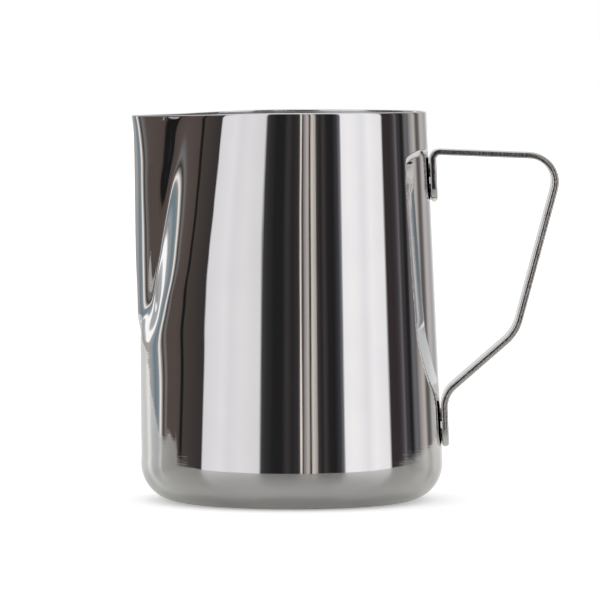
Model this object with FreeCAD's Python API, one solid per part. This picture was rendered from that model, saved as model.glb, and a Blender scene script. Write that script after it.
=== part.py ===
import FreeCAD, Part
import math
import os

# Stainless steel milk frothing pitcher of the 600 ml (20 fl oz) size.
# Millimetres. +Z is up, the origin is the centre of the base on the surface that the
# pitcher stands on, the spout points to -X and the handle is at +X.

V = FreeCAD.Vector

# Body: a deep-drawn jug, a round base corner and a straight wall that narrows upwards.
HEIGHT = 115.9  # of the rim above the base
RIM_RADIUS = 40.05
BODY_RADIUS = 45.0  # the widest place, just above the base corner
BASE_CORNER = 11.1  # outer radius of the rounded corner between base and wall
WALL = 0.8
BASE_RING = 27.0  # radius of the shallow ring pressed into the base
RING_ARC = 3.0  # radius of the ring's rounded section
RING_DEPTH = 0.5

# Spout: a nose with two flanks, pressed out of the wall. Each table gives (height, value) pairs.
NOSE_REACH = (
    (14, 15.0),
    (44, 42.0),
    (50, 44.67),
    (55, 45.93),
    (60, 46.07),
    (75, 46.57),
    (101, 46.89),
    (110, 47.12),
    (117, 47.96),
)
NOSE_ROUNDING = ((55, 0.022), (80, 0.035), (101, 0.071), (117, 0.045))  # radians
FLANK_SLOPE = ((55, 21.3), (80, 20.1), (101, 22.9), (117, 29.9))  # millimetres per radian round the axis
FLANK_EASE = ((80, 4.2), (101, 0.98), (117, 0.45))  # radians over which a flank levels out
VALLEY_ROUNDING = ((55, 0.43), (80, 0.71), (117, 1.0))  # where a flank meets the round wall
BULGE = ((11.7, 0.0), (22, 0.52), (32, 1.04), (42, 1.59), (50, 1.9), (60, 0.53), (74, 0.0))
BULGE_WIDTH = ((35, 14.7), (60, 21.5))  # degrees, of the soft swelling under the nose
DENT = ((46, 0.0), (57, 1.15), (66, 1.32), (75, 1.61), (90, 1.87), (101, 1.98), (117, 2.45))
DENT_ANGLE = ((57, 15.2), (75, 9.4), (90, 16.4), (101, 24.9), (117, 32.6))  # degrees from the spout
DENT_WIDTH = ((57, 5.0), (75, 18.0), (90, 22.7), (117, 21.4))  # degrees
LIP_DIP = 1.2  # how far the rim drops at the spout's tip

# Handle: one flat steel strip bent to shape, with a tab at each end.
STRIP_THICK = 2.0
STRIP_WIDTH = 14.0
STRIP_EDGE = 0.6  # rounding along the strip's edges
TAB_CORNER = 5.0  # rounding of the tabs' corners
# Corners of the strip's centre line in the XZ plane, with the bend radius at each.
HANDLE_LINE = (
    (42.4, 88.9, 0.0),
    (41.8, 104.0, 2.2),
    (80.6, 102.5, 8.0),
    (66.6, 50.2, 13.0),
    (45.25, 31.6, 8.4),
    (45.83, 15.9, 0.0),
)

# Resistance spot welds: two slugs one above the other in each tab.
WELD_RADIUS = 2.0
WELD_IN_WALL = 0.4
UPPER_WELD_HEIGHTS = (92.3, 98.3)
LOWER_WELD_HEIGHTS = (19.3, 25.3)

ABOVE_RIM = 2.0  # the wall is formed this much too tall and then trimmed
TRIM_REACH = 60.0  # half width of the cut that trims the rim, more than the jug's
TRIM_POINTS = 7
SECTION_POINTS = 96
CROWDING = 0.8  # how much closer together the points are at the nose, 0 for evenly spaced
WALL_SECTIONS = 52
CORNER_SECTIONS = 9
SMALL_TURN = 1e-4  # radians, for the slope of a section
SAME_LENGTH = 1e-6
SEAM_LENGTH = 1e-3  # edges shorter than this are left over from a fillet

TAPER = math.atan((BODY_RADIUS - RIM_RADIUS) / (HEIGHT - BASE_CORNER))
FOOT_RADIUS = BODY_RADIUS - BASE_CORNER
CORNER_TOP = BASE_CORNER * (1 + math.sin(TAPER))


def smooth_through(points, x):
    """A smooth curve through points, without overshoot, held level beyond its ends."""
    xs = [p[0] for p in points]
    ys = [p[1] for p in points]
    if x <= xs[0]:
        return ys[0]
    if x >= xs[-1]:
        return ys[-1]
    slopes = [(ys[i + 1] - ys[i]) / (xs[i + 1] - xs[i]) for i in range(len(xs) - 1)]
    tangents = [0.0]
    for before, after in zip(slopes, slopes[1:]):
        level = before * after <= 0
        tangents.append(0.0 if level else 2 * before * after / (before + after))
    tangents.append(slopes[-1])
    i = max(k for k in range(len(slopes)) if xs[k] <= x)
    h = xs[i + 1] - xs[i]
    t = (x - xs[i]) / h
    start = (1 + 2 * t) * (1 - t) ** 2 * ys[i] + t * (1 - t) ** 2 * h * tangents[i]
    end = t * t * (3 - 2 * t) * ys[i + 1] + t * t * (t - 1) * h * tangents[i + 1]
    return start + end


def cone_radius(z):
    return FOOT_RADIUS + BASE_CORNER * math.cos(TAPER) - math.tan(TAPER) * (z - CORNER_TOP)


def bell(angle, width):
    return math.exp(-0.5 * (angle / width) ** 2)


def outer_radius(angle, z):
    """Distance of the outer surface from the axis. angle is in radians from the spout."""
    degrees = abs(math.degrees(angle))
    body = cone_radius(z) + smooth_through(BULGE, z) * bell(degrees, smooth_through(BULGE_WIDTH, z))
    beside = degrees - smooth_through(DENT_ANGLE, z)
    body -= smooth_through(DENT, z) * bell(beside, smooth_through(DENT_WIDTH, z))
    rounding = smooth_through(NOSE_ROUNDING, z)
    turn = math.hypot(angle, rounding) - rounding
    ease = smooth_through(FLANK_EASE, z)
    flank = smooth_through(FLANK_SLOPE, z) * ease * (1 - math.exp(-turn / ease))
    nose = smooth_through(NOSE_REACH, z) - flank
    return (body + nose + math.hypot(body - nose, smooth_through(VALLEY_ROUNDING, z))) / 2


def section_angles():
    """Angles from the spout, once round, closer together at the nose."""
    turns = [2 * math.pi * (k / SECTION_POINTS - 0.5) for k in range(SECTION_POINTS)]
    return [t - CROWDING * math.sin(t) for t in turns]


def closed_curve(points):
    """A smooth closed wire. Every section has the same parameters, so that a loft stays light."""
    angles = section_angles()
    curve = Part.BSplineCurve()
    angles.append(angles[0] + 2 * math.pi)
    curve.interpolate(Points=points, PeriodicFlag=True, Parameters=angles)
    return Part.Wire(curve.toShape())


def round_section(radius, z):
    return closed_curve([V(-radius * math.cos(a), -radius * math.sin(a), z) for a in section_angles()])


def wall_section(z, inset):
    """A level section through the wall, moved in by inset at right angles to the outline."""
    points = []
    for a in section_angles():
        r = outer_radius(a, z)
        growth = outer_radius(a + SMALL_TURN, z) - outer_radius(a - SMALL_TURN, z)
        turn = math.atan(growth / (2 * SMALL_TURN * r))
        x = -r * math.cos(a) + inset * math.cos(a - turn)
        y = -r * math.sin(a) + inset * math.sin(a - turn)
        points.append(V(x, y, z))
    return closed_curve(points)


def jug_form(inset):
    """The solid inside the jug's outline, from the base to above the rim, moved in by inset."""
    corner = BASE_CORNER - inset
    sections = []
    for k in range(CORNER_SECTIONS):
        turn = math.radians(90) * k / CORNER_SECTIONS
        radius = FOOT_RADIUS + corner * math.sin(turn)
        sections.append(round_section(radius, BASE_CORNER - corner * math.cos(turn)))
    top = HEIGHT + ABOVE_RIM
    for k in range(WALL_SECTIONS + 1):
        sections.append(wall_section(CORNER_TOP + (top - CORNER_TOP) * k / WALL_SECTIONS, inset))
    return Part.makeLoft(sections, True, False)


def rim_trim():
    """What is cut off above the rim. Its lower face is level, and dips towards the spout."""
    tip = -NOSE_REACH[-1][1]
    dip = []
    for k in range(TRIM_POINTS):
        way = k / (TRIM_POINTS - 1)
        drop = LIP_DIP * (1 - math.cos(math.pi * way)) / 2
        dip.append(V(tip * way, -TRIM_REACH, HEIGHT - drop))
    curve = Part.BSplineCurve()
    curve.interpolate(Points=dip, InitialTangent=V(-1, 0, 0), FinalTangent=V(-1, 0, 0))
    corners = [
        dip[-1],
        V(-TRIM_REACH, -TRIM_REACH, dip[-1].z),
        V(-TRIM_REACH, -TRIM_REACH, HEIGHT + 2 * ABOVE_RIM),
        V(TRIM_REACH, -TRIM_REACH, HEIGHT + 2 * ABOVE_RIM),
        V(TRIM_REACH, -TRIM_REACH, HEIGHT),
        dip[0],
    ]
    face = Part.Face(Part.Wire([curve.toShape()] + Part.makePolygon(corners).Edges))
    return face.extrude(V(0, 2 * TRIM_REACH, 0))


def jug_body():
    outside = jug_form(0.0)
    inside = jug_form(WALL)
    ring_centre = V(0, 0, RING_DEPTH - RING_ARC)
    groove = Part.makeTorus(BASE_RING, RING_ARC, ring_centre)
    ridge = Part.makeTorus(BASE_RING, RING_ARC + WALL, ring_centre)
    shell = outside.cut(inside.cut(ridge))
    return shell.cut(groove).cut(rim_trim())


def bend_points(before, corner, after, radius):
    """Start, middle, end and centre of the arc of radius that rounds a corner of the centre line."""
    back = (before - corner).normalize()
    ahead = (after - corner).normalize()
    half = back.getAngle(ahead) / 2
    middle_way = (back + ahead).normalize()
    centre = corner + middle_way * (radius / math.sin(half))
    reach = radius / math.tan(half)
    return corner + back * reach, centre - middle_way * radius, corner + ahead * reach, centre


def sideways(start, end):
    """The direction across the strip's thickness, for the straight from start to end."""
    return (end - start).normalize().cross(V(0, 1, 0))


def strip_side(offset):
    """Edges of the handle strip's centre line, moved sideways by offset."""
    corners = [V(x, 0, z) for x, z, _ in HANDLE_LINE]
    edges = []
    last = corners[0] + sideways(corners[0], corners[1]) * offset
    for k in range(1, len(corners) - 1):
        radius = HANDLE_LINE[k][2]
        start, middle, end, centre = bend_points(corners[k - 1], corners[k], corners[k + 1], radius)
        outward = 1 if sideways(corners[k - 1], corners[k]).dot(centre - start) < 0 else -1
        grow = 1 + outward * offset / radius
        arc_start, arc_middle, arc_end = (centre + (p - centre) * grow for p in (start, middle, end))
        edges.append(Part.LineSegment(last, arc_start).toShape())
        edges.append(Part.Arc(arc_start, arc_middle, arc_end).toShape())
        last = arc_end
    finish = corners[-1] + sideways(corners[-2], corners[-1]) * offset
    edges.append(Part.LineSegment(last, finish).toShape())
    return edges


def ends(edges):
    return edges[0].valueAt(edges[0].FirstParameter), edges[-1].valueAt(edges[-1].LastParameter)


def is_across_thickness(edge):
    a = edge.valueAt(edge.FirstParameter)
    b = edge.valueAt(edge.LastParameter)
    return abs(edge.Length - STRIP_THICK) < SAME_LENGTH and abs(a.y - b.y) < SAME_LENGTH


def handle_strap():
    outer = strip_side(STRIP_THICK / 2)
    inner = strip_side(-STRIP_THICK / 2)
    caps = [Part.LineSegment(a, b).toShape() for a, b in zip(ends(outer), ends(inner))]
    outline = Part.Wire(Part.__sortEdges__(outer + inner + caps))
    strip = Part.Face(outline).extrude(V(0, STRIP_WIDTH, 0))
    strip.translate(V(0, -STRIP_WIDTH / 2, 0))
    strip = strip.makeFillet(TAB_CORNER, [e for e in strip.Edges if is_across_thickness(e)])
    along = [e for e in strip.Edges if e.Length > SEAM_LENGTH and not is_across_thickness(e)]
    return strip.makeFillet(STRIP_EDGE, along)


def strap_centre(z, tab):
    """X of the strip's centre line in a tab, at height z."""
    (x0, z0, _), (x1, z1, _) = tab
    return x0 + (x1 - x0) * (z - z0) / (z1 - z0)


def weld_slugs(heights, tab):
    """Round slugs from inside the wall to the middle of the strip's thickness."""
    slugs = []
    for z in heights:
        start = cone_radius(z) - WELD_IN_WALL
        length = strap_centre(z, tab) - start
        slugs.append(Part.makeCylinder(WELD_RADIUS, length, V(start, 0, z), V(1, 0, 0)))
    return slugs


def export(name, shape):
    print(name, "valid", shape.isValid(), "solids", len(shape.Solids), "volume", round(shape.Volume, 1))
    shape.exportStep("parts/" + name + ".step")


os.makedirs("parts", exist_ok=True)
upper_slugs = weld_slugs(UPPER_WELD_HEIGHTS, HANDLE_LINE[:2])
lower_slugs = weld_slugs(LOWER_WELD_HEIGHTS, HANDLE_LINE[-2:])
slugs = upper_slugs + lower_slugs
export("jug_body", jug_body().cut(Part.makeCompound(slugs)))
export("handle_strap", handle_strap().cut(Part.makeCompound(slugs)))
export("upper_spot_welds", Part.makeCompound(upper_slugs))
export("lower_spot_welds", Part.makeCompound(lower_slugs))
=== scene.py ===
"""Looks of the milk frothing pitcher: polished steel jug, bent strip handle, studio and camera."""
import functools
import math

import bpy
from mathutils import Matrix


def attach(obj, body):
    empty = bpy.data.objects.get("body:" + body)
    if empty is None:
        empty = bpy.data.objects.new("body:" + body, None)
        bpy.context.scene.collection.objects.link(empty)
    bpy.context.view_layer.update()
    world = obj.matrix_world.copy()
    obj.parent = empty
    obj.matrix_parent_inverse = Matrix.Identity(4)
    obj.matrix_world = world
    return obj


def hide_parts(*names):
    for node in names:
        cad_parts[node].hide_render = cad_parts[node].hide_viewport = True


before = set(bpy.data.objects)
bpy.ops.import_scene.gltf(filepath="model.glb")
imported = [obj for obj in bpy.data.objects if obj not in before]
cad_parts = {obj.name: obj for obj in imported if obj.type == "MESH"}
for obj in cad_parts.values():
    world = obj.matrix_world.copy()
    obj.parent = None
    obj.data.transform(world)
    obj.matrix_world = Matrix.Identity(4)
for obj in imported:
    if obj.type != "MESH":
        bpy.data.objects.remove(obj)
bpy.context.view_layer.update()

MM = 0.001

# The jug's driving sizes, in millimetres as in the CAD source.
HEIGHT = 115.9
RIM_RADIUS = 40.05
BODY_RADIUS = 45.0
BASE_CORNER = 11.1
WALL = 0.8
BASE_RING = 27.0
RING_ARC = 3.0
RING_DEPTH = 0.5
NOSE_REACH = (
    (14, 15.0),
    (44, 42.0),
    (50, 44.67),
    (55, 45.93),
    (60, 46.07),
    (75, 46.57),
    (101, 46.89),
    (110, 47.12),
    (117, 47.96),
)
NOSE_ROUNDING = ((55, 0.022), (80, 0.035), (101, 0.071), (117, 0.045))  # radians
FLANK_SLOPE = ((55, 21.3), (80, 20.1), (101, 22.9), (117, 29.9))  # millimetres per radian round the axis
FLANK_EASE = ((80, 4.2), (101, 0.98), (117, 0.45))  # radians over which a flank levels out
VALLEY_ROUNDING = ((55, 0.43), (80, 0.71), (117, 1.0))  # where a flank meets the round wall
BULGE = ((11.7, 0.0), (22, 0.52), (32, 1.04), (42, 1.59), (50, 1.9), (60, 0.53), (74, 0.0))
BULGE_WIDTH = ((35, 14.7), (60, 21.5))  # degrees, of the soft swelling under the nose
DENT = ((46, 0.0), (57, 1.15), (66, 1.32), (75, 1.61), (90, 1.87), (101, 1.98), (117, 2.45))
DENT_ANGLE = ((57, 15.2), (75, 9.4), (90, 16.4), (101, 24.9), (117, 32.6))  # degrees from the spout
DENT_WIDTH = ((57, 5.0), (75, 18.0), (90, 22.7), (117, 21.4))  # degrees
LIP_DIP = 1.2  # how far the rim drops at the spout's tip
BASE_MIDDLE = (3.0, 10.0, 18.0, 23.0)  # radii of the underside's rows inside its ring
BASE_EDGE = (30.6, 32.4)  # and outside it
FLOOR_EDGE = 32.4  # the same for the jug's floor inside
FLOOR_MIDDLE = (22.0, 16.0, 9.0, 3.0)

STRIP_THICK = 2.0
STRIP_WIDTH = 14.0
STRIP_EDGE = 0.6
TAB_CORNER = 5.0
HANDLE_LINE = (
    (42.4, 88.9, 0.0),
    (41.8, 104.0, 2.2),
    (80.6, 102.5, 8.0),
    (66.6, 50.2, 13.0),
    (45.25, 31.6, 8.4),
    (45.83, 15.9, 0.0),
)
WELD_HEIGHTS = (92.3, 98.3, 19.3, 25.3)
WELD_MARK = 2.3  # radius of the electrode's print on each side of a weld
WELD_MARK_DEPTH = 0.36
TAB_REACH = 13.5  # length of strip at each end that the prints lie in

TAPER = math.atan((BODY_RADIUS - RIM_RADIUS) / (HEIGHT - BASE_CORNER))
FOOT_RADIUS = BODY_RADIUS - BASE_CORNER
CORNER_TOP = BASE_CORNER * (1 + math.sin(TAPER))

# Mesh density.
AROUND = 320
CROWDING = 0.72  # how much closer together the points are at the nose, 0 for evenly spaced
OUTER_ROWS = 150
INNER_ROWS = 70
CORNER_ROWS = 22
LIP_ROWS = 8
RING_ROWS = 10
RIM_ROUNDS = 2  # the dip is so slight that the second round settles it
BEND_STEPS = 20
STRAIGHT_STEP = 0.8  # millimetres between the sections of a straight length of strip
FLAT_STEPS = 34
EDGE_STEPS = 5
THINNEST_EDGE = 0.95  # share of half the thickness that an edge's rounding may take at the ends
FLAT_SHARE = 0.9  # share of half the thickness beyond which a point is on a flat face
SMALL_TURN = 1e-4  # radians, for the slope of a section


# ---------------------------------------------------------------- the jug's form


@functools.lru_cache(maxsize=None)
def smooth_through(points, x):
    """A smooth curve through points, without overshoot, held level beyond its ends."""
    xs = [p[0] for p in points]
    ys = [p[1] for p in points]
    if x <= xs[0]:
        return ys[0]
    if x >= xs[-1]:
        return ys[-1]
    slopes = [(ys[i + 1] - ys[i]) / (xs[i + 1] - xs[i]) for i in range(len(xs) - 1)]
    tangents = [0.0]
    for before, after in zip(slopes, slopes[1:]):
        level = before * after <= 0
        tangents.append(0.0 if level else 2 * before * after / (before + after))
    tangents.append(slopes[-1])
    i = max(k for k in range(len(slopes)) if xs[k] <= x)
    h = xs[i + 1] - xs[i]
    t = (x - xs[i]) / h
    start = (1 + 2 * t) * (1 - t) ** 2 * ys[i] + t * (1 - t) ** 2 * h * tangents[i]
    end = t * t * (3 - 2 * t) * ys[i + 1] + t * t * (t - 1) * h * tangents[i + 1]
    return start + end


def cone_radius(z):
    """The round wall without its spout."""
    return FOOT_RADIUS + BASE_CORNER * math.cos(TAPER) - math.tan(TAPER) * (z - CORNER_TOP)


def bell(angle, width):
    return math.exp(-0.5 * (angle / width) ** 2)


def outer_radius(angle, z):
    """Distance of the outer surface from the axis. angle is in radians from the spout."""
    degrees = abs(math.degrees(angle))
    body = cone_radius(z) + smooth_through(BULGE, z) * bell(degrees, smooth_through(BULGE_WIDTH, z))
    beside = degrees - smooth_through(DENT_ANGLE, z)
    body -= smooth_through(DENT, z) * bell(beside, smooth_through(DENT_WIDTH, z))
    rounding = smooth_through(NOSE_ROUNDING, z)
    turn = math.hypot(angle, rounding) - rounding
    ease = smooth_through(FLANK_EASE, z)
    flank = smooth_through(FLANK_SLOPE, z) * ease * (1 - math.exp(-turn / ease))
    nose = smooth_through(NOSE_REACH, z) - flank
    return (body + nose + math.hypot(body - nose, smooth_through(VALLEY_ROUNDING, z))) / 2


def rim_height(x):
    """The rim is level, and dips smoothly towards the spout's tip."""
    reach = min(1.0, max(0.0, -x / NOSE_REACH[-1][1]))
    return HEIGHT - LIP_DIP * (1 - math.cos(math.pi * reach)) / 2


def wall_point(angle, z, inset):
    """A point of the wall, moved in by inset at right angles to the level outline."""
    r = outer_radius(angle, z)
    growth = outer_radius(angle + SMALL_TURN, z) - outer_radius(angle - SMALL_TURN, z)
    turn = math.atan(growth / (2 * SMALL_TURN * r))
    x = -r * math.cos(angle) + inset * math.cos(angle - turn)
    y = -r * math.sin(angle) + inset * math.sin(angle - turn)
    return x, y, z


def section_angles():
    """Angles from the spout, once round, closer together at the nose."""
    turns = [2 * math.pi * (k / AROUND - 0.5) for k in range(AROUND)]
    return [t - CROWDING * math.sin(t) for t in turns]


def round_row(angles, radius, z):
    return [(-radius * math.cos(a), -radius * math.sin(a), z) for a in angles]


def rim_above(angle, inset):
    """Height of the rim over a point of the wall."""
    top = HEIGHT
    for _ in range(RIM_ROUNDS):
        top = rim_height(wall_point(angle, top, inset)[0])
    return top


def wall_row(angles, share, inset, below_rim):
    """A row of the wall at a share of its height, so that the top row follows the rim."""
    row = []
    for a in angles:
        top = rim_above(a, inset) - below_rim
        row.append(wall_point(a, CORNER_TOP + (top - CORNER_TOP) * share, inset))
    return row


def ring_rows(angles, arc, low_z, outwards):
    """Rows over the shallow ring pressed into the base, from one side to the other."""
    centre = RING_DEPTH - RING_ARC
    half = math.acos((low_z - centre) / arc)
    rows = []
    for k in range(RING_ROWS + 1):
        turn = half * (2 * k / RING_ROWS - 1) * outwards
        radius = BASE_RING + arc * math.sin(turn)
        rows.append(round_row(angles, radius, centre + arc * math.cos(turn)))
    return rows


def corner_rows(angles, corner, steps, upwards):
    """Rows over the round corner between the base and the wall, without the wall's first row."""
    rows = []
    for k in range(steps):
        share = k / steps if upwards else 1 - (k + 1) / steps
        turn = (math.pi / 2 + TAPER) * share
        radius = FOOT_RADIUS + corner * math.sin(turn)
        rows.append(round_row(angles, radius, BASE_CORNER - corner * math.cos(turn)))
    return rows


def lip_rows(angles):
    """The polished edge of the rim, rounded over from the outer face to the inner."""
    half = WALL / 2
    rows = []
    for k in range(1, LIP_ROWS):
        turn = math.pi * k / LIP_ROWS
        row = []
        for a in angles:
            inset = half - half * math.cos(turn)
            x, y, top = wall_point(a, rim_above(a, inset), inset)
            row.append((x, y, top - half + half * math.sin(turn)))
        rows.append(row)
    return rows


def mesh_object(name, points, faces, face_slots=None):
    """An object from points in millimetres."""
    mesh = bpy.data.meshes.new(name)
    mesh.from_pydata([(x * MM, y * MM, z * MM) for x, y, z in points], [], faces)
    mesh.update()
    mesh.shade_smooth()
    if face_slots:
        mesh.polygons.foreach_set("material_index", face_slots)
    ob = bpy.data.objects.new(name, mesh)
    bpy.context.scene.collection.objects.link(ob)
    return ob


def lathe_mesh(name, rows, slots):
    """A closed skin over rows of points, with a pole at the first and the last row's centre."""
    around = len(rows[0])
    points = [(0.0, 0.0, rows[0][0][2])]
    points += [p for row in rows for p in row]
    points.append((0.0, 0.0, rows[-1][0][2]))
    last = len(points) - 1
    faces = []
    face_slots = []
    for j in range(around):
        faces.append((0, 1 + (j + 1) % around, 1 + j))
        face_slots.append(slots[0])
    for i in range(len(rows) - 1):
        for j in range(around):
            a = 1 + i * around + j
            b = 1 + i * around + (j + 1) % around
            faces.append((a, b, b + around, a + around))
            face_slots.append(slots[i])
    for j in range(around):
        top = 1 + (len(rows) - 1) * around
        faces.append((top + j, top + (j + 1) % around, last))
        face_slots.append(slots[-1])
    return mesh_object(name, points, faces, face_slots)


def make_jug():
    """Up the outside from the middle of the base, over the rim and down the inside."""
    angles = section_angles()
    rows = [round_row(angles, r, 0.0) for r in BASE_MIDDLE]
    rows += ring_rows(angles, RING_ARC, 0.0, 1)
    rows += [round_row(angles, r, 0.0) for r in BASE_EDGE]
    rows += corner_rows(angles, BASE_CORNER, CORNER_ROWS, True)
    half = WALL / 2
    rows += [wall_row(angles, k / OUTER_ROWS, 0.0, half) for k in range(OUTER_ROWS + 1)]
    rows += lip_rows(angles)
    outside = len(rows)
    rows += [wall_row(angles, 1 - k / INNER_ROWS, WALL, half) for k in range(INNER_ROWS + 1)]
    rows += corner_rows(angles, BASE_CORNER - WALL, CORNER_ROWS, False)
    rows.append(round_row(angles, FLOOR_EDGE, WALL))
    rows += ring_rows(angles, RING_ARC + WALL, WALL, -1)
    rows += [round_row(angles, r, WALL) for r in FLOOR_MIDDLE]
    slots = [0 if i < outside else 1 for i in range(len(rows))]
    return lathe_mesh("jug_shell", rows, slots)


# ---------------------------------------------------------------- the handle


def handle_path():
    """Points of the strip's centre line, each with the direction that it runs in there."""
    corners = [(x, z) for x, z, _ in HANDLE_LINE]
    samples = []
    start = corners[0]
    for k in range(1, len(corners) - 1):
        radius = HANDLE_LINE[k][2]
        into = math.atan2(corners[k][1] - corners[k - 1][1], corners[k][0] - corners[k - 1][0])
        out = math.atan2(corners[k + 1][1] - corners[k][1], corners[k + 1][0] - corners[k][0])
        turn = (out - into + math.pi) % (2 * math.pi) - math.pi
        reach = radius * math.tan(abs(turn) / 2)
        stop = (corners[k][0] - reach * math.cos(into), corners[k][1] - reach * math.sin(into))
        samples += straight_samples(start, stop, into)
        samples += bend_samples(stop, into, turn, radius)
        start = (corners[k][0] + reach * math.cos(out), corners[k][1] + reach * math.sin(out))
    into = math.atan2(corners[-1][1] - start[1], corners[-1][0] - start[0])
    return samples + straight_samples(start, corners[-1], into) + [(*corners[-1], into)]


def straight_samples(start, stop, way):
    """Evenly spaced points from start up to stop, which is left out."""
    length = math.dist(start, stop)
    steps = max(2, round(length / STRAIGHT_STEP))
    return [
        (start[0] + (stop[0] - start[0]) * j / steps, start[1] + (stop[1] - start[1]) * j / steps, way)
        for j in range(steps)
    ]


def bend_samples(start, into, turn, radius):
    """Points of a bend, without the point that it stops at."""
    side = math.copysign(1, turn)
    centre = (start[0] - side * radius * math.sin(into), start[1] + side * radius * math.cos(into))
    samples = []
    for j in range(BEND_STEPS):
        way = into + turn * j / BEND_STEPS
        x = centre[0] + side * radius * math.sin(way)
        z = centre[1] - side * radius * math.cos(way)
        samples.append((x, z, way))
    return samples


def rounded_inset(distance, radius):
    """How far an outline has drawn in at a distance from the end of a strip with round corners."""
    if distance >= radius:
        return 0.0
    return radius - math.sqrt(max(0.0, radius**2 - (radius - distance) ** 2))


def strip_outline(half_width, half_thick, edge):
    """The strip's section, as (across, left of the path) pairs: two flats and four rounded edges."""
    outline = []
    for side in (1, -1):
        for j in range(FLAT_STEPS):
            across = side * (half_width - edge) * (1 - 2 * j / FLAT_STEPS)
            outline.append((across, side * half_thick))
        for quarter in (0, 1):
            centre = (-side * (half_width - edge), side * (half_thick - edge) * (1 - 2 * quarter))
            for j in range(EDGE_STEPS):
                turn = math.pi / 2 * (quarter + j / EDGE_STEPS)
                across = centre[0] - side * edge * math.sin(turn)
                outline.append((across, centre[1] + side * edge * math.cos(turn)))
    return outline


def weld_print(across, z):
    """Depth of the electrodes' prints at a point of a tab's outer face."""
    near = min(math.hypot(across, z - h) for h in WELD_HEIGHTS)
    return WELD_MARK_DEPTH * max(0.0, 1 - (near / WELD_MARK) ** 2) ** 2


def strip_row(place, from_start, from_end):
    """The strip's section at a point of its path, narrower and thinner at its rounded ends."""
    x, z, way = place
    end = min(from_start, from_end)
    half_width = STRIP_WIDTH / 2 - rounded_inset(end, TAB_CORNER)
    half_thick = STRIP_THICK / 2 - rounded_inset(end, STRIP_EDGE)
    edge = min(STRIP_EDGE, half_thick * THINNEST_EDGE)
    # The left of the path faces away from the jug in the lower tab, and towards it in the upper.
    outer_side = 1 if from_start > from_end else -1
    row = []
    for across, left in strip_outline(half_width, half_thick, edge):
        if end < TAB_REACH and left * outer_side > half_thick * FLAT_SHARE:
            left -= outer_side * weld_print(across, z)
        row.append((x - math.sin(way) * left, across, z + math.cos(way) * left))
    return row


def make_handle():
    """The strip's sections joined along its path, with a face across each end."""
    path = handle_path()
    lengths = [0.0]
    for a, b in zip(path, path[1:]):
        lengths.append(lengths[-1] + math.dist(a[:2], b[:2]))
    rows = [strip_row(place, s, lengths[-1] - s) for place, s in zip(path, lengths)]
    count = len(rows[0])
    faces = []
    for i in range(len(rows) - 1):
        for j in range(count):
            a = i * count + j
            b = i * count + (j + 1) % count
            faces.append((a, b, b + count, a + count))
    faces.append(tuple(range(count - 1, -1, -1)))
    faces.append(tuple((len(rows) - 1) * count + j for j in range(count)))
    return mesh_object("handle_strip", [p for row in rows for p in row], faces)


# ---------------------------------------------------------------- materials


class Nodes:
    """Short calls for building a node tree."""

    def __init__(self, tree):
        self.tree = tree
        tree.nodes.clear()

    def add(self, kind, **settings):
        node = self.tree.nodes.new(kind)
        for key, value in settings.items():
            setattr(node, key, value)
        return node

    def link(self, source, target):
        self.tree.links.new(source, target)

    def math(self, operation, a, b=0.0):
        node = self.add("ShaderNodeMath", operation=operation)
        for socket, value in zip(node.inputs, (a, b)):
            if isinstance(value, (int, float)):
                socket.default_value = value
            else:
                self.link(value, socket)
        return node.outputs[0]

    def map_range(self, value, from_min, from_max, to_min, to_max, smooth=False):
        node = self.add("ShaderNodeMapRange", interpolation_type="SMOOTHSTEP" if smooth else "LINEAR")
        self.link(value, node.inputs[0])
        for socket, number in zip(node.inputs[1:5], (from_min, from_max, to_min, to_max)):
            socket.default_value = number
        return node.outputs[0]

    def noise(self, vector, scale, detail, roughness):
        node = self.add("ShaderNodeTexNoise")
        self.link(vector, node.inputs["Vector"])
        node.inputs["Scale"].default_value = scale
        node.inputs["Detail"].default_value = detail
        node.inputs["Roughness"].default_value = roughness
        return node.outputs["Fac"]

    def total(self, *values):
        result = values[0]
        for value in values[1:]:
            result = self.math("ADD", result, value)
        return result

    def mixed(self, share, first, second):
        """The colour first where share is 0, and second where it is 1."""
        node = self.add("ShaderNodeMix", data_type="RGBA")
        self.link(share, node.inputs[0])
        for socket, colour in zip(node.inputs[6:8], (first, second)):
            if isinstance(colour, tuple):
                socket.default_value = colour
            else:
                self.link(colour, socket)
        return node.outputs[2]

    def bump(self, height, strength, distance):
        node = self.add("ShaderNodeBump")
        node.inputs["Strength"].default_value = strength
        node.inputs["Distance"].default_value = distance
        self.link(height, node.inputs["Height"])
        return node.outputs[0]

    def stretched(self, vector, factors):
        node = self.add("ShaderNodeVectorMath", operation="MULTIPLY")
        self.link(vector, node.inputs[0])
        node.inputs[1].default_value = factors
        return node.outputs[0]


def new_material(name):
    """A plain metal, for the caller to work on."""
    material = bpy.data.materials.new(name)
    material.use_nodes = True
    nodes = Nodes(material.node_tree)
    shader = nodes.add("ShaderNodeBsdfPrincipled")
    output = nodes.add("ShaderNodeOutputMaterial")
    nodes.link(shader.outputs[0], output.inputs[0])
    shader.inputs["Metallic"].default_value = 1.0
    return material, nodes, shader


def round_coordinates(nodes):
    """Coordinates that follow the jug's wall: round it, up it and out from its axis, in metres."""
    place = nodes.add("ShaderNodeTexCoord").outputs["Object"]
    split = nodes.add("ShaderNodeSeparateXYZ")
    nodes.link(place, split.inputs[0])
    x, y, z = split.outputs
    squares = nodes.total(nodes.math("MULTIPLY", x, x), nodes.math("MULTIPLY", y, y))
    radius = nodes.math("SQRT", squares)
    angle = nodes.math("ARCTAN2", y, x)
    join = nodes.add("ShaderNodeCombineXYZ")
    nodes.link(nodes.math("MULTIPLY", angle, BODY_RADIUS * MM), join.inputs[0])
    nodes.link(z, join.inputs[1])
    nodes.link(radius, join.inputs[2])
    return place, join.outputs[0]


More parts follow.
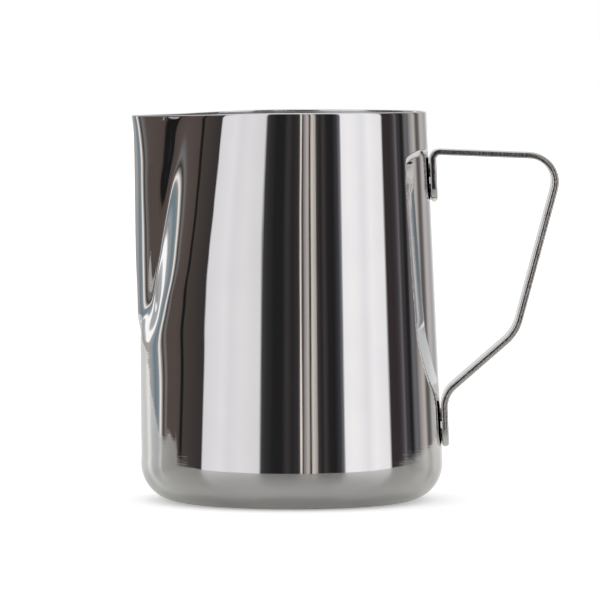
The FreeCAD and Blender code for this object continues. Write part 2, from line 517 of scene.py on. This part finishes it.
# Polishing marks. A stretch is how often a noise changes round, up and out from the axis, per
# metre. A noise is its scale, detail and roughness. Depths are in metres.
NOISE_MIDDLE = (0.3, 0.7)  # the range that a noise mostly keeps to
LEVEL_STRETCH = (60.0, 2600.0, 60.0)
LEVEL_NOISE = (1.0, 3.0, 0.6)
LEVEL_DEPTH = 0.0000018
UPRIGHT_STRETCH = (1500.0, 30.0, 30.0)
UPRIGHT_NOISE = (1.0, 2.0, 0.5)
UPRIGHT_DEPTH = 0.0000022
HAZE_NOISE = (55.0, 3.0, 0.55)
HAZE_RANGE = (0.35, 0.7)
HAZE_TINT = (0.965, 0.965, 0.975)
RIPPLE_NOISE = (24.0, 1.0, 0.4)
PITTING_NOISE = (1300.0, 3.0, 0.6)
PITTING_DEPTH = 0.00006
EDGE_STARTS = (0.0062, 0.0068)  # distance from the handle's middle plane
LATHE_STRETCH = (25.0, 3500.0, 3500.0)
LATHE_NOISE = (1.0, 4.0, 0.65)
LATHE_SHARE = 0.6
CLOUD_NOISE = (40.0, 2.0, 0.5)
CLOUD_SHARE = 0.4
SATIN_ROUGHNESS = (0.2, 0.36)
SATIN_DARKER = 0.9
SATIN_BUMP = (0.6, 0.00002)  # strength and depth
WELD_GRAIN = (900.0, 4.0, 0.6)
WELD_ROUGHNESS = (0.3, 0.5)
WELD_BROWN = (0.30, 0.25, 0.20, 1.0)
WELD_GREY = (0.56, 0.54, 0.52, 1.0)


def edge_pitting(nodes, place):
    """The blanked edges of the strip are a little pitted."""
    split = nodes.add("ShaderNodeSeparateXYZ")
    nodes.link(place, split.inputs[0])
    across = nodes.math("ABSOLUTE", split.outputs[1])
    at_edge = nodes.map_range(across, *EDGE_STARTS, 0.0, PITTING_DEPTH)
    return nodes.math("MULTIPLY", at_edge, nodes.noise(place, *PITTING_NOISE))


def polished_steel(name, colour, roughness, ripple_depth, pitted_edges=False):
    """Mirror-polished steel: a faint waviness, fine polishing lines and small changes of gloss."""
    material, nodes, shader = new_material(name)
    place, around = round_coordinates(nodes)
    lines = nodes.noise(nodes.stretched(around, LEVEL_STRETCH), *LEVEL_NOISE)
    uprights = nodes.noise(nodes.stretched(around, UPRIGHT_STRETCH), *UPRIGHT_NOISE)
    haze = nodes.noise(place, *HAZE_NOISE)
    gloss = nodes.total(nodes.math("MULTIPLY", lines, 0.5), nodes.math("MULTIPLY", haze, 0.5))
    nodes.link(nodes.map_range(gloss, *NOISE_MIDDLE, *roughness), shader.inputs["Roughness"])
    hazy = tuple(c * t for c, t in zip(colour, HAZE_TINT))
    share = nodes.map_range(haze, *HAZE_RANGE, 0.0, 1.0)
    nodes.link(nodes.mixed(share, (*colour, 1.0), (*hazy, 1.0)), shader.inputs["Base Color"])
    height = nodes.total(
        nodes.math("MULTIPLY", nodes.noise(place, *RIPPLE_NOISE), ripple_depth),
        nodes.math("MULTIPLY", lines, LEVEL_DEPTH),
        nodes.math("MULTIPLY", uprights, UPRIGHT_DEPTH),
    )
    if pitted_edges:
        height = nodes.total(height, edge_pitting(nodes, place))
    nodes.link(nodes.bump(height, 1.0, 1.0), shader.inputs["Normal"])
    return material


def satin_steel(name, colour):
    """The inside: fine satin, turned on a lathe wheel, so its lines run round the axis."""
    material, nodes, shader = new_material(name)
    place, around = round_coordinates(nodes)
    lines = nodes.noise(nodes.stretched(around, LATHE_STRETCH), *LATHE_NOISE)
    cloud = nodes.noise(place, *CLOUD_NOISE)
    lines_part = nodes.math("MULTIPLY", lines, LATHE_SHARE)
    blend = nodes.total(lines_part, nodes.math("MULTIPLY", cloud, CLOUD_SHARE))
    nodes.link(nodes.map_range(blend, *NOISE_MIDDLE, *SATIN_ROUGHNESS), shader.inputs["Roughness"])
    darker = tuple(c * SATIN_DARKER for c in colour)
    share = nodes.map_range(blend, *NOISE_MIDDLE, 0.0, 1.0)
    nodes.link(nodes.mixed(share, (*darker, 1.0), (*colour, 1.0)), shader.inputs["Base Color"])
    nodes.link(nodes.bump(lines, *SATIN_BUMP), shader.inputs["Normal"])
    return material


def weld_metal(name):
    """Fused steel, duller than the sheets, with a straw to brown heat tint."""
    material, nodes, shader = new_material(name)
    place = nodes.add("ShaderNodeTexCoord").outputs["Object"]
    grain = nodes.noise(place, *WELD_GRAIN)
    ramp = nodes.add("ShaderNodeValToRGB")
    nodes.link(grain, ramp.inputs[0])
    ramp.color_ramp.elements[0].color = WELD_BROWN
    ramp.color_ramp.elements[1].color = WELD_GREY
    nodes.link(ramp.outputs[0], shader.inputs["Base Color"])
    nodes.link(nodes.map_range(grain, *NOISE_MIDDLE, *WELD_ROUGHNESS), shader.inputs["Roughness"])
    return material


# ---------------------------------------------------------------- the studio

STEEL = (0.84, 0.835, 0.825)
STRAP_STEEL = (0.80, 0.795, 0.785)
WHITE = (1.0, 1.0, 1.0, 1.0)
BLACK = (0.0, 0.0, 0.0, 1.0)

# What stands round the pitcher, by the direction it is seen in from the pitcher: degrees from
# the front, to the left negative, and the brightness it shows in the polished steel.
LEFT_BACK = (
    (-180, (205, 205, 204)),  # pale wall
    (-168, (200, 199, 197)),
    (-158, (156, 150, 147)),  # dim room behind the table
    (-138, (158, 154, 152)),
    (-132.5, (150, 150, 150)),
    (-129.5, (126, 136, 142)),
    (-127.5, (106, 122, 130)),  # blue-grey cloth
    (-125, (114, 127, 134)),
    (-122.5, (134, 137, 139)),
    (-120.4, (242, 236, 232)),  # slit of daylight
    (-118.3, (150, 142, 136)),
    (-116.3, (52, 47, 44)),
    (-113.5, (112, 110, 110)),
    (-110, (84, 75, 72)),  # brown screen
    (-97, (76, 67, 63)),
    (-95.8, (26, 25, 26)),  # gap between two screens
    (-93.8, (26, 25, 26)),
    (-92.6, (68, 62, 59)),
    (-90, (66, 59, 56)),
)
LEFT_FRONT = (
    (-90, (66, 59, 56)),
    (-73.2, (52, 49, 49)),
    (-71.8, (214, 212, 214)),  # left softbox, with folds in its cloth
    (-56, (223, 221, 222)),
    (-49, (215, 213, 215)),
    (-40, (220, 218, 219)),
    (-25.4, (212, 210, 211)),
    (-23.2, (62, 60, 61)),
    (-20, (47, 46, 47)),  # dark gap that the camera looks through
    (-14, (32, 31, 32)),
    (-7.5, (32, 31, 32)),
    (-4, (56, 52, 53)),
    (-1.5, (49, 46, 47)),
    (0, (38, 36, 37)),
)
RIGHT_FRONT = (
    (0, (38, 36, 37)),
    (4.6, (48, 46, 47)),
    (6.2, (74, 70, 68)),  # bright things seen through the gap
    (7, (232, 222, 214)),
    (7.4, (226, 216, 208)),
    (8.1, (66, 62, 61)),
    (9.1, (78, 74, 73)),
    (9.9, (132, 127, 126)),
    (12.6, (180, 172, 166)),
    (13.3, (166, 158, 153)),
    (14.4, (34, 31, 31)),
    (15.1, (34, 31, 31)),
    (15.9, (204, 196, 188)),
    (17, (194, 186, 179)),
    (19.4, (158, 151, 147)),
    (20.4, (60, 57, 56)),
    (23.4, (37, 35, 35)),
    (26, (60, 57, 56)),
    (29, (36, 34, 35)),
    (34, (31, 31, 32)),
    (38, (58, 58, 62)),
    (40.6, (108, 108, 114)),
    (41.8, (232, 230, 230)),  # right softbox
    (48, (238, 235, 235)),
    (54, (234, 232, 232)),
    (61, (224, 222, 225)),
    (68, (237, 235, 235)),
    (74, (232, 230, 231)),
    (80.6, (228, 226, 226)),
    (83, (52, 46, 46)),
    (90, (49, 43, 45)),  # dark screen
)
RIGHT_BACK = (
    (90, (49, 43, 45)),
    (94, (57, 52, 55)),
    (96.4, (78, 73, 78)),
    (98.2, (102, 97, 103)),
    (100.4, (60, 57, 58)),
    (102.6, (56, 54, 54)),
    (105.8, (31, 30, 30)),
    (108, (38, 37, 40)),
    (110.6, (92, 91, 94)),  # posts and folded cloth behind it
    (113, (104, 102, 104)),
    (116, (94, 92, 93)),
    (118.6, (134, 131, 130)),
    (122, (160, 154, 150)),
    (126, (178, 172, 168)),
    (128.4, (150, 145, 140)),
    (130.4, (100, 96, 93)),
    (132.6, (84, 82, 80)),
    (136, (104, 101, 101)),
    (140, (168, 163, 161)),
    (144, (178, 173, 172)),
    (153, (158, 154, 154)),
    (158, (168, 167, 167)),
    (166, (212, 212, 212)),
    (180, (232, 232, 232)),  # white wall
)
CEILING = (206, 207, 209)
CEILING_STARTS = (0.5, 0.8)  # how steeply up a ray starts to see it, and sees nothing else
# The left back quarter above eye level: a narrow window over the dim room.
WINDOW_LAST = -133  # degrees
WINDOW = (
    (-180, (205, 205, 204)),
    (-168, (200, 199, 197)),
    (-158, (160, 159, 158)),
    (-148, (160, 160, 160)),
    (-144.5, (175, 176, 177)),
    (-142.5, (246, 246, 246)),
    (-137.5, (246, 246, 246)),
    (-135.5, (165, 166, 168)),
    (-133, (130, 131, 132)),
)
WINDOW_SILL = (-0.012, 0.0)  # how steeply down a ray still sees the window, and sees it fully


def linear(level):
    """The light behind a brightness on the screen, 0 to 255, by the sRGB curve."""
    share = level / 255
    return share / 12.92 if share <= 0.04045 else ((share + 0.055) / 1.055) ** 2.4


def as_shown(levels):
    """The light that looks like levels once the steel has reflected it."""
    return tuple(linear(v) / s for v, s in zip(levels, STEEL)) + (1.0,)


def side_ramp(nodes, degrees, stops):
    """The colours of one quarter of the studio."""
    first, last = stops[0][0], stops[-1][0]
    node = nodes.add("ShaderNodeValToRGB")
    nodes.link(nodes.map_range(degrees, first, last, 0.0, 1.0), node.inputs[0])
    elements = node.color_ramp.elements
    for k, (angle, levels) in enumerate(stops):
        place = (angle - first) / (last - first)
        element = elements[k] if k < 2 else elements.new(place)
        element.position = place
        element.color = as_shown(levels)
    return node.outputs[0]


def studio_colours(nodes):
    """What a mirrored ray sees, by the direction that it leaves in."""
    way = nodes.add("ShaderNodeTexCoord").outputs["Generated"]
    split = nodes.add("ShaderNodeSeparateXYZ")
    nodes.link(way, split.inputs[0])
    x, y, z = split.outputs
    turn = nodes.math("ARCTAN2", x, nodes.math("MULTIPLY", y, -1.0))
    degrees = nodes.math("MULTIPLY", turn, 180 / math.pi)
    window = side_ramp(nodes, degrees, WINDOW)
    above_sill = nodes.map_range(z, *WINDOW_SILL, 0.0, 1.0)
    beside = nodes.math("LESS_THAN", degrees, WINDOW_LAST)
    seen = nodes.math("MULTIPLY", above_sill, beside)
    left_back = nodes.mixed(seen, side_ramp(nodes, degrees, LEFT_BACK), window)
    left_front = side_ramp(nodes, degrees, LEFT_FRONT)
    left = nodes.mixed(nodes.math("GREATER_THAN", degrees, -90.0), left_back, left_front)
    right_front = side_ramp(nodes, degrees, RIGHT_FRONT)
    right_back = side_ramp(nodes, degrees, RIGHT_BACK)
    right = nodes.mixed(nodes.math("GREATER_THAN", degrees, 90.0), right_front, right_back)
    sides = nodes.mixed(nodes.math("GREATER_THAN", degrees, 0.0), left, right)
    overhead = nodes.map_range(z, *CEILING_STARTS, 0.0, 1.0, smooth=True)
    return nodes.mixed(overhead, sides, as_shown(CEILING))


def make_world():
    """Mirrors see softboxes, dark screens and the pale room. All else is lit by an even white."""
    world = bpy.data.worlds.new("studio")
    bpy.context.scene.world = world
    world.use_nodes = True
    nodes = Nodes(world.node_tree)
    mirrored = nodes.add("ShaderNodeBackground")
    nodes.link(studio_colours(nodes), mirrored.inputs[0])
    even = nodes.add("ShaderNodeBackground")
    even.inputs[0].default_value = WHITE
    path = nodes.add("ShaderNodeLightPath")
    choose = nodes.add("ShaderNodeMixShader")
    nodes.link(path.outputs["Is Glossy Ray"], choose.inputs[0])
    nodes.link(even.outputs[0], choose.inputs[1])
    nodes.link(mirrored.outputs[0], choose.inputs[2])
    output = nodes.add("ShaderNodeOutputWorld")
    nodes.link(choose.outputs[0], output.inputs[0])


# The table top's outline, in metres: the screens round it stand on this line.
TABLE_OUTLINE = (
    (-0.89, 2.44),
    (-0.62, 1.17),
    (-0.57, 0.83),
    (-0.49, 0.58),
    (-0.59, 0.46),
    (-0.56, 0.3),
    (-0.64, 0.245),
    (-1.4, 0.38),
    (-1.5, 0.3),
    (-1.1, 0.14),
    (-0.86, 0.09),
    (-0.84, 0.02),
    (-0.95, -0.05),
    (-0.75, -0.16),
    (-0.3, -0.19),
    (0.3, -0.19),
    (0.8, -0.12),
    (0.9, 0.05),
    (0.46, 0.27),
    (0.2, 0.345),
    (0.16, 2.6),
)
TABLE_HEIGHT = -0.0004  # just under the floor
FLOOR_REACH = 6.0
FLOOR_CORNERS = 96
FLOOR_NEAR = (0.95, 0.95, 0.95, 1.0)
FLOOR_FADES = (0.1, 0.9)  # distances from the axis where that starts to turn white, and is white
FLOOR_GLOW = 0.28
CLOTH_ROUGHNESS = 0.9


def flat_stage(name, outline, z):
    """A level sheet from an outline in metres."""
    ob = mesh_object(name, [(x / MM, y / MM, z / MM) for x, y in outline], [tuple(range(len(outline)))])
    return ob


def only_mirrored(ob):
    """The steel mirrors it, but the camera and the even light don't meet it."""
    ob.visible_camera = False
    ob.visible_diffuse = False
    ob.visible_shadow = False


def matt(name, roughness, specular):
    """A material that isn't metal."""
    material, nodes, shader = new_material(name)
    shader.inputs["Metallic"].default_value = 0.0
    shader.inputs["Roughness"].default_value = roughness
    shader.inputs["Specular IOR Level"].default_value = specular
    return material, nodes, shader


# A brown screen that hangs close by on the left: its two ends and the heights of its lower edge.
SCREEN_REACH = 0.35
SCREEN_ENDS = (-105.5, -95.5)  # degrees, as for the studio
SCREEN_LOWER = (0.0155, 0.0135)
SCREEN_TOP = 0.09
SCREEN_BROWN = (80, 71, 67)


def make_screen():
    corners = []
    for degrees, low in zip(SCREEN_ENDS, SCREEN_LOWER):
        turn = math.radians(degrees)
        x = SCREEN_REACH * math.sin(turn)
        y = -SCREEN_REACH * math.cos(turn)
        corners += [(x / MM, y / MM, low / MM), (x / MM, y / MM, SCREEN_TOP / MM)]
    screen = mesh_object("brown_screen", corners, [(0, 1, 3, 2)])
    only_mirrored(screen)
    material, _, shader = matt("brown_cloth", CLOTH_ROUGHNESS, 0.0)
    shader.inputs["Base Color"].default_value = BLACK
    shader.inputs["Emission Color"].default_value = as_shown(SCREEN_BROWN)
    shader.inputs["Emission Strength"].default_value = 1.0
    screen.data.materials.append(material)


def from_axis(nodes):
    """A place on the stage, and its distance from the pitcher's axis."""
    place = nodes.add("ShaderNodeTexCoord").outputs["Object"]
    length = nodes.add("ShaderNodeVectorMath", operation="LENGTH")
    nodes.link(place, length.inputs[0])
    return place, length.outputs["Value"]


def floor_surface():
    """Almost white, a little darker close to the pitcher."""
    material, nodes, shader = matt("pale_floor", CLOTH_ROUGHNESS, 0.0)
    _, distance = from_axis(nodes)
    away = nodes.map_range(distance, *FLOOR_FADES, 0.0, 1.0, smooth=True)
    nodes.link(nodes.mixed(away, FLOOR_NEAR, WHITE), shader.inputs["Base Color"])
    shader.inputs["Emission Color"].default_value = WHITE
    shader.inputs["Emission Strength"].default_value = FLOOR_GLOW
    return material


# How grey the table is, with painted shade that darkens it close to the pitcher: distance from the
# pitcher's axis in metres, and its reflectance.
TABLE_REACH = 0.25
TABLE_GREY_AND_PAINTED_SHADE = ((0.04, 0.19), (0.0445, 0.24), (0.048, 0.252), (0.055, 0.258), (0.065, 0.26), (0.2, 0.265))
TABLE_WARMTH = (1.01, 1.0, 0.955)
TABLE_ROUGHNESS = 0.3
TABLE_IOR = 1.7
# Painted light: these two ranges make the table paler beside and behind the pitcher.
PAINTED_SIDE_LIGHT = (-0.85, -0.15, 1.0, 1.6)  # from in front of the pitcher to beside it
PAINTED_BACK_LIGHT = (0.2, 0.85, 1.0, 1.6)  # from beside it to behind it


def painted_light_round(nodes, place):
    """Painted light: how much paler the table is made beside and behind the pitcher."""
    aim = nodes.add("ShaderNodeVectorMath", operation="NORMALIZE")
    nodes.link(place, aim.inputs[0])
    split = nodes.add("ShaderNodeSeparateXYZ")
    nodes.link(aim.outputs[0], split.inputs[0])
    behind = split.outputs[1]
    beside_light = nodes.map_range(behind, *PAINTED_SIDE_LIGHT)
    return nodes.math("MULTIPLY", beside_light, nodes.map_range(behind, *PAINTED_BACK_LIGHT))


def table_surface():
    """Grey in front of the pitcher; painted light makes it paler beside and behind it, and painted shade
    makes it dark where the pitcher stands.
    """
    material, nodes, shader = matt("table_grey_painted_light_and_shade", TABLE_ROUGHNESS, 1.0)
    shader.inputs["IOR"].default_value = TABLE_IOR
    place, distance = from_axis(nodes)
    # Painted shade: this ramp darkens the table close to where the pitcher stands.
    shade = nodes.add("ShaderNodeValToRGB")
    nodes.link(nodes.map_range(distance, 0.0, TABLE_REACH, 0.0, 1.0), shade.inputs[0])
    elements = shade.color_ramp.elements
    for k, (reach, level) in enumerate(TABLE_GREY_AND_PAINTED_SHADE):
        element = elements[k] if k < 2 else elements.new(reach / TABLE_REACH)
        element.position = reach / TABLE_REACH
        element.color = (*[level * w for w in TABLE_WARMTH], 1.0)
    # Painted light: the grey is scaled up beside and behind the pitcher.
    lit = nodes.add("ShaderNodeVectorMath", operation="SCALE")
    nodes.link(shade.outputs[0], lit.inputs[0])
    nodes.link(painted_light_round(nodes, place), lit.inputs["Scale"])
    nodes.link(lit.outputs[0], shader.inputs["Base Color"])
    return material


def make_floor():
    """The pale floor that the camera sees, and the grey table top that only the steel mirrors."""
    turns = [2 * math.pi * k / FLOOR_CORNERS for k in range(FLOOR_CORNERS)]
    edge = [(FLOOR_REACH * math.cos(t), FLOOR_REACH * math.sin(t)) for t in turns]
    floor = flat_stage("floor", edge, 0.0)
    floor.visible_glossy = False
    floor.data.materials.append(floor_surface())

    top = flat_stage("table_top", TABLE_OUTLINE, TABLE_HEIGHT)
    only_mirrored(top)
    top.data.materials.append(table_surface())


# The camera's distance and height and the point it aims at, and the width it takes in there: metres.
CAMERA_DISTANCE = 1.65
CAMERA_HEIGHT = 0.1405
AIM_X = 0.00243
AIM_HEIGHT = 0.0596
WIDTH_SEEN = 0.17892
CLIP_START = 0.05
SENSOR_WIDTH = 36.0  # millimetres, as the lens


def make_camera():
    """A long lens a little above the rim, square to the side of the pitcher."""
    data = bpy.data.cameras.new("camera")
    camera = bpy.data.objects.new("camera", data)
    bpy.context.scene.collection.objects.link(camera)
    drop = CAMERA_HEIGHT - AIM_HEIGHT
    data.sensor_width = SENSOR_WIDTH
    data.lens = SENSOR_WIDTH * math.hypot(CAMERA_DISTANCE, drop) / WIDTH_SEEN
    data.clip_start = CLIP_START
    camera.location = (AIM_X, -CAMERA_DISTANCE, CAMERA_HEIGHT)
    camera.rotation_euler = (math.pi / 2 - math.atan2(drop, CAMERA_DISTANCE), 0.0, 0.0)
    bpy.context.scene.camera = camera


def set_view():
    settings = bpy.context.scene.view_settings
    settings.view_transform = "Standard"
    settings.look = "None"
    settings.exposure = 0.0
    settings.gamma = 1.0


# ---------------------------------------------------------------- assembly

MIRROR_ROUGHNESS = (0.018, 0.045)
MIRROR_RIPPLE = 0.000009
STRAP_ROUGHNESS = (0.03, 0.08)
STRAP_RIPPLE = 0.00002

mirror = polished_steel("mirror_steel", STEEL, MIRROR_ROUGHNESS, MIRROR_RIPPLE)
inside = satin_steel("satin_steel", STEEL)
strap_steel = polished_steel("strap_steel", STRAP_STEEL, STRAP_ROUGHNESS, STRAP_RIPPLE, pitted_edges=True)
weld_steel = weld_metal("weld_steel")

jug = make_jug()
jug.data.materials.append(mirror)
jug.data.materials.append(inside)
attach(jug, "root")
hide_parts("jug_body")

handle = make_handle()
handle.data.materials.append(strap_steel)
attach(handle, "root")
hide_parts("handle_strap")

for node in ("upper_spot_welds", "lower_spot_welds"):
    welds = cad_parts[node]
    welds.data.materials.clear()
    welds.data.materials.append(weld_steel)

make_world()
make_floor()
make_screen()
make_camera()
set_view()
